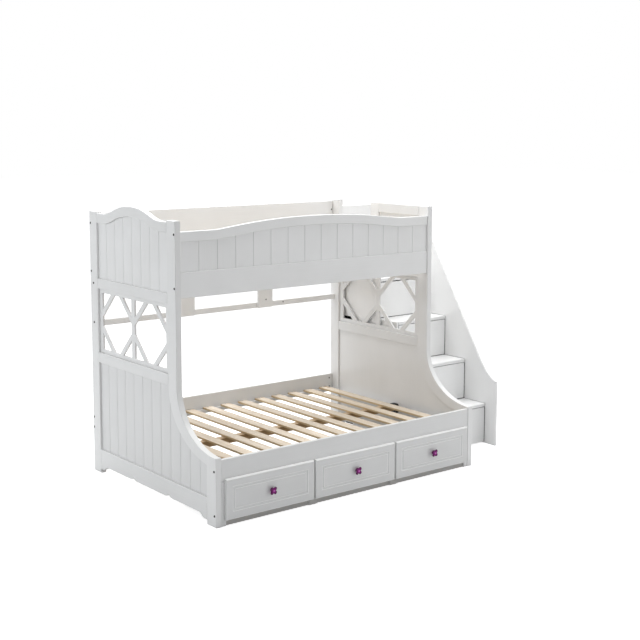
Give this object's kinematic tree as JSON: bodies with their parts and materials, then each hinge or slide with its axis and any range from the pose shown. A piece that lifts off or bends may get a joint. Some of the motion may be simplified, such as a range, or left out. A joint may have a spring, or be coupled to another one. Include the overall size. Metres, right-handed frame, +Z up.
{
  "type": "bunk bed with storage ladder",
  "caption": "Twin over full bunk bed with lattice ends, slatted bases, drawers under the lower bunk and a staircase of drawers beside a gate in the end panel.",
  "frame": {"origin": "centre of the bounding box on the floor", "axes": "+Z up, -Y towards the open front where the drawers pull out, +X towards the staircase"},
  "size_m": [2.5002, 1.4686, 1.738],
  "materials": {
    "white_lacquer": "white satin lacquer",
    "pine": "planed, unfinished",
    "knob_plastic": "glossy magenta"
  },
  "bodies": {
    "bed_frame": {"left_back_post": "white_lacquer", "left_front_post": "white_lacquer", "left_upper_panel": "white_lacquer", "left_middle_rail": "white_lacquer", "left_lattice": "white_lacquer", "left_lower_rail": "white_lacquer", "left_lower_panel": "white_lacquer", "left_foot_rail": "white_lacquer", "right_back_post": "white_lacquer", "right_front_post": "white_lacquer", "right_upper_panel": "white_lacquer", "right_middle_rail": "white_lacquer", "right_lattice": "white_lacquer", "right_lower_rail": "white_lacquer", "right_lower_panel": "white_lacquer", "right_foot_rail": "white_lacquer", "left_head_rail": "white_lacquer", "right_gate_post": "white_lacquer", "right_top_rail": "white_lacquer", "upper_front_rail": "white_lacquer", "upper_front_panel": "white_lacquer", "upper_front_cap": "white_lacquer", "upper_back_guard": "white_lacquer", "back_frame_upper_bar": "white_lacquer", "back_frame_lower_bar": "white_lacquer", "back_frame_left_strut": "white_lacquer", "back_frame_right_strut": "white_lacquer", "upper_slat_deck": "pine", "lower_slat_deck": "pine", "centre_beam": "pine", "lower_front_rail": "white_lacquer", "lower_back_rail": "white_lacquer", "drawer_face_frame": "white_lacquer", "drawer_divider_1": "white_lacquer", "drawer_divider_2": "white_lacquer", "stair_guard_panel": "white_lacquer", "stair_bed_side_panel": "white_lacquer", "stair_rear_panel": "white_lacquer", "stair_landing": "white_lacquer", "stair_tread_1": "white_lacquer", "stair_tread_2": "white_lacquer", "stair_tread_3": "white_lacquer", "stair_base": "white_lacquer"},
    "bed_drawer_1": {"bed_drawer_1_front": "white_lacquer", "bed_drawer_1_box": "white_lacquer", "bed_drawer_1_knob": "knob_plastic"},
    "bed_drawer_2": {"bed_drawer_2_front": "white_lacquer", "bed_drawer_2_box": "white_lacquer", "bed_drawer_2_knob": "knob_plastic"},
    "bed_drawer_3": {"bed_drawer_3_front": "white_lacquer", "bed_drawer_3_box": "white_lacquer", "bed_drawer_3_knob": "knob_plastic"},
    "stair_drawer_1": {"stair_drawer_1_front": "white_lacquer", "stair_drawer_1_box": "white_lacquer"},
    "stair_drawer_2": {"stair_drawer_2_front": "white_lacquer", "stair_drawer_2_box": "white_lacquer"},
    "stair_drawer_3": {"stair_drawer_3_front": "white_lacquer", "stair_drawer_3_box": "white_lacquer"},
    "stair_drawer_4": {"stair_drawer_4_front": "white_lacquer", "stair_drawer_4_box": "white_lacquer"}
  },
  "joints": [
    {"name": "bed_drawer_1_slide", "type": "slide", "parent": "bed_frame", "child": "bed_drawer_1", "axis": [0, -1, 0], "range_m": [0, 0.42]},
    {"name": "bed_drawer_2_slide", "type": "slide", "parent": "bed_frame", "child": "bed_drawer_2", "axis": [0, -1, 0], "range_m": [0, 0.42]},
    {"name": "bed_drawer_3_slide", "type": "slide", "parent": "bed_frame", "child": "bed_drawer_3", "axis": [0, -1, 0], "range_m": [0, 0.42]},
    {"name": "stair_drawer_1_slide", "type": "slide", "parent": "bed_frame", "child": "stair_drawer_1", "axis": [0, -1, 0], "range_m": [0, 0.3]},
    {"name": "stair_drawer_2_slide", "type": "slide", "parent": "bed_frame", "child": "stair_drawer_2", "axis": [0, -1, 0], "range_m": [0, 0.3]},
    {"name": "stair_drawer_3_slide", "type": "slide", "parent": "bed_frame", "child": "stair_drawer_3", "axis": [0, -1, 0], "range_m": [0, 0.3]},
    {"name": "stair_drawer_4_slide", "type": "slide", "parent": "bed_frame", "child": "stair_drawer_4", "axis": [0, -1, 0], "range_m": [0, 0.3]}
  ]
}
